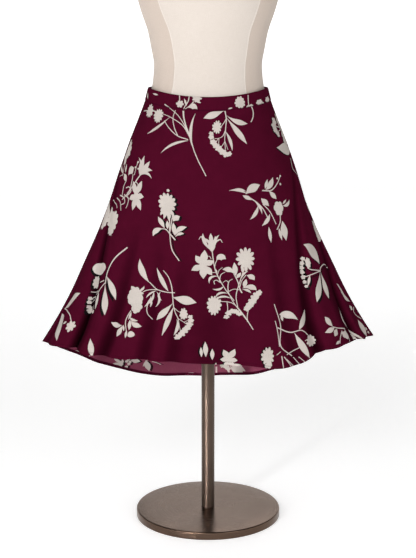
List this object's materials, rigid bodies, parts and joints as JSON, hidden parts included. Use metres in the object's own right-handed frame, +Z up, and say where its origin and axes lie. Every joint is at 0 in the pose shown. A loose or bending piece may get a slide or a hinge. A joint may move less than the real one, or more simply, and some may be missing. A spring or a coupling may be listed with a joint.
{
  "type": "a-line skirt on dress form",
  "caption": "Flared knee-length printed skirt with a shaped waistband and concealed back zip, on a limbless linen dress form with pole and round base.",
  "frame": {"origin": "middle of the round base's underside, on the floor under the pole", "axes": "+Z up; the wearer faces -Y; +X is the wearer's left"},
  "size_m": [0.6834, 0.3086, 1.379],
  "materials": {
    "printed_cloth": "matt woven viscose, burgundy with cream flower sprays",
    "band_cloth": "matt woven viscose, the same print, interfaced",
    "tape_cloth": "woven zip tape, burgundy",
    "form_linen": "natural linen over a firm shell",
    "form_board": "plain sealed board",
    "bronze_steel": "brushed bronze, satin",
    "socket_steel": "satin dark bronze",
    "zip_metal": "burgundy lacquer"
  },
  "bodies": {
    "root": {"skirt_front": "printed_cloth", "skirt_back_left": "printed_cloth", "skirt_back_right": "printed_cloth", "waistband_front": "band_cloth", "waistband_back_left": "band_cloth", "waistband_back_right": "band_cloth", "zip_tape": "tape_cloth", "zip_slider": "zip_metal", "form_torso": "form_linen", "form_plate": "form_board", "pole_socket": "socket_steel", "pole": "bronze_steel", "base_disc": "bronze_steel"},
    "pull_tab": {"zip_pull": "zip_metal"}
  },
  "joints": [
    {"name": "pull_swing", "type": "hinge", "parent": "root", "child": "pull_tab", "pos_m": [0, 0.10074, 0.8841], "axis": [1, 0, 0], "range_deg": [0, 165]}
  ]
}
